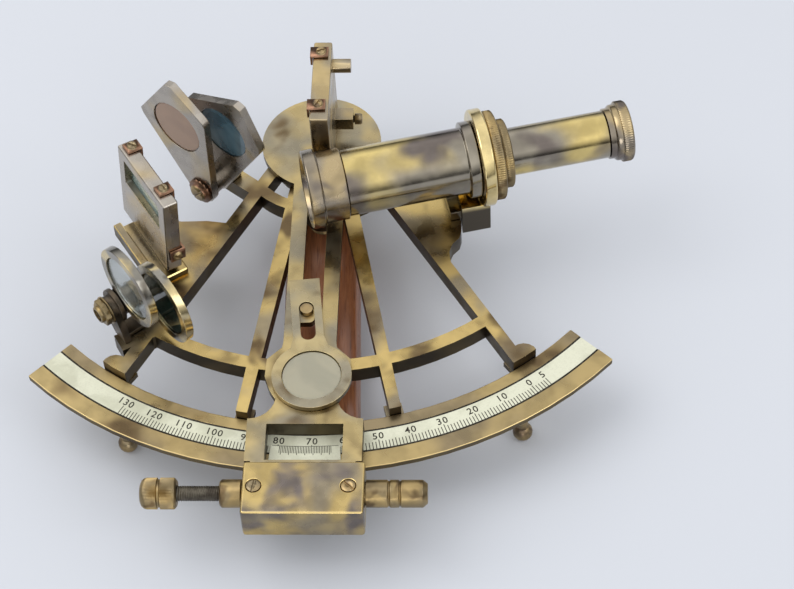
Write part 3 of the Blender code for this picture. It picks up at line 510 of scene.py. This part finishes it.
def turned(name, look, body, axes, profile, segments, relief, stands_for, smooth):
    """A turned piece on local Z of axes, its profile as (radius, station) in millimetres.
    relief(radius, station, angle) gives the radius at a place. A profile from radius 0 to
    radius 0 is solid, and any other is closed into a ring."""
    bm = bmesh.new()
    rings = []
    for radius, station in profile:
        if radius == 0:
            rings.append([bm.verts.new(axes @ (Vector((0, 0, station)) * MM))])
            continue
        ring = []
        for i in range(segments):
            a = math.tau * i / segments
            r = relief(radius, station, a)
            at = Vector((r * math.cos(a), r * math.sin(a), station)) * MM
            ring.append(bm.verts.new(axes @ at))
        rings.append(ring)
    pairs = list(zip(rings, rings[1:]))
    if len(rings[0]) > 1:
        pairs.append((rings[-1], rings[0]))
    for one, two in pairs:
        for i in range(segments):
            j = (i + 1) % segments
            if len(one) == 1:
                bm.faces.new((one[0], two[i], two[j]))
            elif len(two) == 1:
                bm.faces.new((one[i], one[j], two[0]))
            else:
                bm.faces.new((one[i], one[j], two[j], two[i]))
    return piece_from(bm, name, look, body, stands_for, smooth)


PER_RIDGE = 4                          # points round a knurled piece for each of its ridges


def knurl(ridges, depth, *zones):
    """Relief of straight knurling on the stations of each zone, given as (low, high)."""
    def relief(radius, station, a):
        if any(low <= station <= high for low, high in zones):
            return radius - depth * abs(math.sin(a * ridges / 2))
        return radius
    return relief


HEAD_DEPTH = 1.25                      # millimetres from a head's top to its underside, at most


def slotted(node, head, angle, cut, head_radius=0.0):
    """The CAD node with a screw slot cut in it. head is the centre of the head's top, with
    local Z out of it; the slot is turned by angle, and cut is its length, width and depth. A
    head of radius head_radius takes the finish of the small brass pieces."""
    source = NODES[node]
    bm = bmesh.new()
    bm.from_mesh(source.data)
    bmesh.ops.remove_doubles(bm, verts=bm.verts, dist=WELD)
    body = source["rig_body"]
    made = piece_from(bm, node + "_slotted", LOOK_OF[node], body, (node,))
    length, width, depth = cut
    tool = bmesh.new()
    stretch = Matrix.Diagonal((length * MM, width * MM, 2 * depth * MM, 1))
    bmesh.ops.create_cube(tool, size=1, matrix=head @ rotated(angle, "Z") @ stretch)
    mesh = bpy.data.meshes.new("slot_cutter")
    tool.to_mesh(mesh)
    tool.free()
    cutter = add_object("slot_cutter", mesh)
    step = made.modifiers.new("slot", "BOOLEAN")
    step.operation = "DIFFERENCE"
    step.solver = "EXACT"
    step.object = cutter
    carved = evaluated_mesh(made)
    made.modifiers.clear()
    made.data = carved
    finish(made, LOOK_OF[node])
    bpy.data.objects.remove(cutter)
    if head_radius:
        carved.materials.append(LOOKS["small"])
        out_of = head.inverted()
        for face in carved.polygons:
            x, y, z = out_of @ face.center / MM
            if math.hypot(x, y) < head_radius and z > -HEAD_DEPTH:
                face.material_index = 1
    carved.shade_smooth()
    carved.set_sharp_from_angle(angle=SHARP)


# ---------------------------------------------------------------- the scale

# Radii are from the pivot and heights from the limb's top, in millimetres. Angles are from -Y,
# positive towards +X, in degrees.
SCALE_MIN, SCALE_MAX = -5, 130
ZERO_ANGLE, DEGREES_PER_READING = 34.0, 0.5
DIVISION_STARTS = ((10, 148.0), (5, 148.4), (1, 148.8))   # for every tenth, fifth and other line
DIVISION_END, DIVISION_WIDTH, DIVISION_HEIGHTS = 152.1, 0.32, (-0.05, 0.025)
NUMBER_FOOT, NUMBER_HEIGHT = 147.6, 2.9
# Painted shade: dark bands in the gaps at the silvered scale's inner and outer edges.
GAP_SHADE_RADII, GAP_SHADE_ANGLE, GAP_SHADE_HEIGHTS = ((142.85, 143.6), (152.0, 152.75)), 45.9, (-0.3, 0.03)
VERNIER_LINES, VERNIER_STEP = 16, 0.235                   # lines on each side of the middle one
VERNIER_START, VERNIER_LONG_END, VERNIER_END = 149.4, 153.4, 152.6
VERNIER_WIDTH, VERNIER_HEIGHTS = 0.26, (1.25, 1.325)
VERNIER_BASE, VERNIER_BASE_ANGLE, VERNIER_BASE_HEIGHTS = (149.32, 149.50), 4.9, (1.2, 1.325)
DIGIT_SHARE, DIGIT_SPACING = 0.70, 1.16                   # a digit's height in its font's size
DIGIT_RELIEF, DIGIT_WEIGHT = 0.02, 0.05


def scale_angle(reading):
    return ZERO_ANGLE - reading * DEGREES_PER_READING


def around(radius, angle, z):
    a = math.radians(angle)
    return Vector((radius * math.sin(a), -radius * math.cos(a), z)) * MM


def tick(bm, place, start, end, angle, width, heights):
    """A straight line along a radius, as a thin closed box."""
    half = math.degrees(width / 2 / end)
    corners = []
    for z in heights:
        for radius, side in ((start, -1), (start, 1), (end, 1), (end, -1)):
            spread = half * end / radius * side
            corners.append(bm.verts.new(place @ around(radius, angle + spread, z)))
    bm.faces.new(corners[:4])
    bm.faces.new(corners[4:])
    for i in range(4):
        j = (i + 1) % 4
        bm.faces.new([corners[k] for k in (i, j, j + 4, i + 4)])


def arc_line(bm, place, radii, reach, heights, step):
    """A thin closed band along the scale, from -reach to reach."""
    (inner, outer), (low, high) = radii, heights
    count = round(2 * reach / step)
    sections = []
    for i in range(count + 1):
        angle = -reach + 2 * reach * i / count
        sections.append([bm.verts.new(place @ around(r, angle, z))
                         for r, z in ((inner, low), (outer, low), (outer, high), (inner, high))])
    for one, two in zip(sections, sections[1:]):
        for i in range(4):
            j = (i + 1) % 4
            bm.faces.new((one[i], one[j], two[j], two[i]))
    for cap in (sections[0], sections[-1]):
        bm.faces.new(cap)


def numeral(text):
    """The mesh of a number, centred on its foot."""
    curve = bpy.data.curves.new("numeral", "FONT")
    curve.body = text
    curve.size = NUMBER_HEIGHT * MM / DIGIT_SHARE
    curve.space_character = DIGIT_SPACING
    curve.align_x = "CENTER"
    curve.extrude = DIGIT_RELIEF * MM
    curve.resolution_u = 3
    curve.offset = DIGIT_WEIGHT * MM
    guide = add_object("numeral", curve)
    mesh = evaluated_mesh(guide)
    bpy.data.objects.remove(guide)
    return mesh


def make_scale():
    """The limb's divisions, their numbers, and two dark bands of painted shade in the gaps that
    border them.
    """
    bm = bmesh.new()
    for reading in range(SCALE_MIN, SCALE_MAX + 1):
        start = next(radius for every, radius in DIVISION_STARTS if reading % every == 0)
        tick(bm, DATUM, start, DIVISION_END, scale_angle(reading), DIVISION_WIDTH,
             DIVISION_HEIGHTS)
    piece_from(bm, "scale_divisions", "ink", "stand")
    bm = bmesh.new()
    for reading in (SCALE_MIN, *range(0, SCALE_MAX + 1, 10)):
        mesh = numeral(str(abs(reading)))
        angle = scale_angle(reading)
        foot = Matrix.Translation(around(NUMBER_FOOT, angle, 0.0))
        mesh.transform(DATUM @ foot @ rotated(angle, "Z"))
        bm.from_mesh(mesh)
    bmesh.ops.remove_doubles(bm, verts=bm.verts, dist=WELD / 2)
    piece_from(bm, "scale_numbers", "ink", "stand")
    # Painted shade in the gaps along both edges of the silvered scale.
    bm = bmesh.new()
    for radii in GAP_SHADE_RADII:
        arc_line(bm, DATUM, radii, GAP_SHADE_ANGLE, GAP_SHADE_HEIGHTS, 1.0)
    piece_from(bm, "scale_gap_shade_lines", "ink", "stand")


def make_vernier():
    """The vernier's divisions and the line at their foot, riding the arm."""
    bm = bmesh.new()
    for i in range(-VERNIER_LINES, VERNIER_LINES + 1):
        end = VERNIER_LONG_END if i % 5 == 0 else VERNIER_END
        tick(bm, ARM, VERNIER_START, end, i * VERNIER_STEP, VERNIER_WIDTH, VERNIER_HEIGHTS)
    arc_line(bm, ARM, VERNIER_BASE, VERNIER_BASE_ANGLE, VERNIER_BASE_HEIGHTS, 0.6)
    piece_from(bm, "vernier_divisions", "ink", "arm")


# ---------------------------------------------------------------- knurled and threaded pieces

def make_knob():
    """The tangent screw's knob, with two knurled bands and a groove between them."""
    outline = [(0, -57.3), (3.3, -57.3), (3.3, -47.3), (4.9, -47.3), (5.6, -47.8), (6.0, -48.4),
               (6.0, -50.9), (6.0, -53.4), (5.3, -53.8), (5.3, -54.4), (6.0, -54.8), (6.0, -56.7),
               (6.0, -58.6), (5.7, -59.7), (5.0, -60.6), (3.6, -61.2), (0, -61.4)]
    ridges = 70
    turned("tangent_knob_knurled", "knob", "tangent", TANGENT, outline,
           PER_RIDGE * ridges, knurl(ridges, 0.24, (-53.4, -48.4), (-58.6, -54.8)),
           ("tangent_knob",), 50)


def make_thread():
    """The tangent screw, its ridge a helix along the rod."""
    radius, pitch, depth = 3.0, 0.9, 0.30
    low, high = -57.0, -6.1
    count = int((high - low) / pitch * 5)

    def thread(rod_radius, station, a):
        phase = (station / pitch + a / math.tau) % 1.0
        return rod_radius - depth * (1 - abs(2 * phase - 1))

    side = [(radius, high - (high - low) * i / count) for i in range(count + 1)]
    turned("tangent_screw_threaded", "thread", "tangent", TANGENT,
           [(0, high), *side, (0, low)], 20, thread, ("tangent_screw",), 60)


def make_telescope_rings():
    """The telescope's lock ring, the ring on its tube's end and its eyepiece, each knurled."""
    clamp = [(18.2, 75.8), (18.2, 74.3), (18.2, 72.8), (17.8, 72.4), (17.6, 72.2), (13.5, 72.2),
             (13.5, 76.4), (17.4, 76.4), (17.8, 76.2)]
    ridges = 120
    turned("clamp_ring_knurled", "knob", "lock_ring", TELESCOPE, clamp,
           PER_RIDGE * ridges, knurl(ridges, 0.30, (72.8, 75.8)), ("clamp_ring",), 50)
    ring = [(14.0, 80.0), (14.0, 77.3), (13.4, 76.7), (12.1, 76.7), (12.1, 70.0), (9.76, 70.0),
            (9.76, 80.6), (13.2, 80.6), (13.6, 80.4)]
    ridges = 92
    turned("tube_end_ring_knurled", "knob", "stand", TELESCOPE, ring,
           PER_RIDGE * ridges, knurl(ridges, 0.28, (77.3, 80.0)), ("tube_end_ring",), 50)
    cap = [(11.6, 130.6), (12.0, 130.3), (12.4, 129.6), (12.4, 126.6), (12.0, 126.2),
           (11.5, 126.1), (11.4, 124.3), (11.1, 123.8), (10.4, 123.5), (10.3, 121.3), (6.0, 121.3),
           (6.0, 128.8), (6.6, 129.7), (7.6, 130.6)]
    ridges = 80
    turned("eyepiece_knurled", "cell", "eyepiece", TELESCOPE, cap,
           PER_RIDGE * ridges, knurl(ridges, 0.26, (126.6, 129.6)), ("eyepiece",), 50)


def make_shade_nut():
    """A hexagon nut on a washer, on the end of the horizon shades' bolt."""
    corner, side, tilt = 5.9, 5.0, math.radians(12)

    def hexagon(radius, station, a):
        if radius != corner:
            return radius
        from_side = (a + tilt) % (math.tau / 6) - math.tau / 12
        return min(corner, side / math.cos(from_side))

    outline = [(6.0, -6.7), (6.0, -7.3), (4.9, -7.35), (corner, -7.6), (corner, -9.6),
               (4.7, -10.0), (3.7, -10.0), (3.6, -10.8), (3.3, -11.2), (2.6, -11.2), (2.6, -6.7)]
    turned("shade_nut_hexagon", "knob", "stand", HORIZON_SHADES, outline, 48,
           hexagon, ("shade_nut",), 28)


# ---------------------------------------------------------------- screw slots

# Length, width and depth, in millimetres. A slot is longer than its head, so both ends are open.
COVER_SLOT, CLIP_SLOT = (8, 0.75, 0.75), (6, 0.6, 0.6)
SHADE_SLOT, ADJUSTER_SLOT = (12, 0.8, 0.9), (8, 0.7, 0.8)
CLIP_HEAD, SHADE_HEAD = 2.15, 4.5      # radii
CLIP_RISE = 2.3                        # from a mirror frame's edge to the top of its clip's screw


def make_slots():
    """Slots in the screws' heads, each turned its own way as the screws came to rest."""
    for number, x, angle in ((1, -17.8, 78), (2, 17.8, -42)):
        slotted("cover_screw_%d" % number, ARM @ moved(x, -172.9, 10.4), angle, COVER_SLOT)
    for number, y, angle in ((1, 10.9, 20), (2, -17.9, 60)):
        head = ARM @ moved(1.9, y, 50.0 + CLIP_RISE)
        slotted("index_clip_%d" % number, head, angle, CLIP_SLOT, CLIP_HEAD)
    upward = rotated(-90, "X")
    for number, x, angle in ((1, 15.0, 35), (2, -11.5, 10)):
        head = HORIZON_MIRROR @ moved(x, 38, -2.2) @ upward @ moved(0, 0, CLIP_RISE)
        slotted("horizon_clip_%d" % number, head, angle, CLIP_SLOT, CLIP_HEAD)
    sideways = rotated(-90, "Y") @ rotated(90, "Z")
    head = HORIZON_MIRROR @ moved(-19.5, 8.5, -2.2) @ sideways @ moved(0, 0, CLIP_RISE)
    slotted("horizon_clip_3", head, 60, CLIP_SLOT, CLIP_HEAD)
    head = INDEX_SHADES @ moved(0, 0, -5.2) @ rotated(180, "X")
    slotted("index_shade_screw", head, 50, SHADE_SLOT, SHADE_HEAD)
    slotted("mirror_adjuster", ADJUSTER @ moved(0, 0, 17.6), 30, ADJUSTER_SLOT)


# ---------------------------------------------------------------- camera, floor and light

CAMERA_TURN = rotated(-2.7358, "Y") @ rotated(-37.9265, "X") @ rotated(2.106, "Z")
CAMERA_SHIFT = moved(-31.216, 58.896, -1011.04)
LENS, SENSOR = 108.8, 36.0


def make_camera():
    """The photograph's view, from a fit of its scale and feet. CAMERA_SHIFT @ CAMERA_TURN takes
    places about DATUM to the camera's axes, so the camera stands at the inverse."""
    data = bpy.data.cameras.new("camera")
    data.sensor_width = SENSOR
    data.lens = LENS
    data.dof.use_dof = False
    camera = add_object("camera", data)
    camera.matrix_world = DATUM @ (CAMERA_SHIFT @ CAMERA_TURN).inverted()
    bpy.context.scene.camera = camera


def make_floor():
    """A plain pale sheet just under the feet, with a trace of unevenness in its tone."""
    bm = bmesh.new()
    bmesh.ops.create_grid(bm, x_segments=8, y_segments=8, size=4.0)
    mesh = bpy.data.meshes.new("floor")
    bm.to_mesh(mesh)
    bm.free()
    floor = add_object("floor", mesh)
    floor.location.z = -0.05 * MM
    f = Finish("floor")
    cloud = f.noise(f.mapped(), 1.5, 2.0, 0.5)
    f.link(f.mix(f.span(cloud, 0.3, 0.7), (0.588, 0.608, 0.656), (0.572, 0.593, 0.640)),
           f.shader.inputs["Base Color"])
    f.shader.inputs["Roughness"].default_value = 0.9
    f.shader.inputs["Specular IOR Level"].default_value = 0.15
    floor.data.materials.append(f.material)


def area_light(name, place, size, power, tone):
    """A round soft light aimed at the middle of the sextant."""
    data = bpy.data.lights.new(name, "AREA")
    data.shape = "DISK"
    data.size = size
    data.energy = power
    data.color = tone
    light = add_object(name, data)
    light.location = place
    aim = Vector((0, 0, 0.02)) - Vector(place)
    light.rotation_euler = aim.to_track_quat("-Z", "Y").to_euler()


# How bright the world is from its horizon (0), and everywhere below that, to straight up (1)
SKY = ((0.0, 0.12), (0.14, 0.22), (0.34, 0.80), (0.58, 1.38), (1.0, 1.12))
SKY_TINT, SKY_STRENGTH = (0.98, 0.99, 1.0), 0.88


def make_light():
    """Soft studio light: a world that is bright overhead and dim low down, and three lights."""
    world = bpy.data.worlds.new("studio")
    bpy.context.scene.world = world
    world.use_nodes = True
    tree = world.node_tree
    back = tree.nodes["Background"]
    place = tree.nodes.new("ShaderNodeTexCoord")
    split = tree.nodes.new("ShaderNodeSeparateXYZ")
    ramp = tree.nodes.new("ShaderNodeValToRGB")
    tree.links.new(place.outputs["Generated"], split.inputs["Vector"])
    tree.links.new(split.outputs["Z"], ramp.inputs["Fac"])
    tree.links.new(ramp.outputs["Color"], back.inputs["Color"])
    elements = ramp.color_ramp.elements
    while len(elements) < len(SKY):
        elements.new(0.5)
    for element, (at, level) in zip(elements, SKY):
        element.position = at
        element.color = (*(level * part for part in SKY_TINT), 1)
    back.inputs["Strength"].default_value = SKY_STRENGTH
    area_light("key", (-0.70, 0.05, 1.30), 1.2, 6.5, (1.0, 0.985, 0.96))
    area_light("fill", (0.9, -0.55, 0.9), 0.7, 2.0, (0.96, 0.98, 1.0))
    area_light("front", (0.1, -1.5, 0.28), 0.55, 2.6, (1.0, 0.99, 0.97))


# ---------------------------------------------------------------- the scene

make_camera()
make_floor()
make_light()
for node, look in LOOK_OF.items():
    finish(NODES[node], look)
for node, made in NODES.items():
    soften(made, EDGE_WIDTH.get(node, PLAIN_WIDTH))
make_scale()
make_vernier()
make_knob()
make_thread()
make_telescope_rings()
make_shade_nut()
make_slots()
bpy.context.scene.view_settings.view_transform = "Standard"
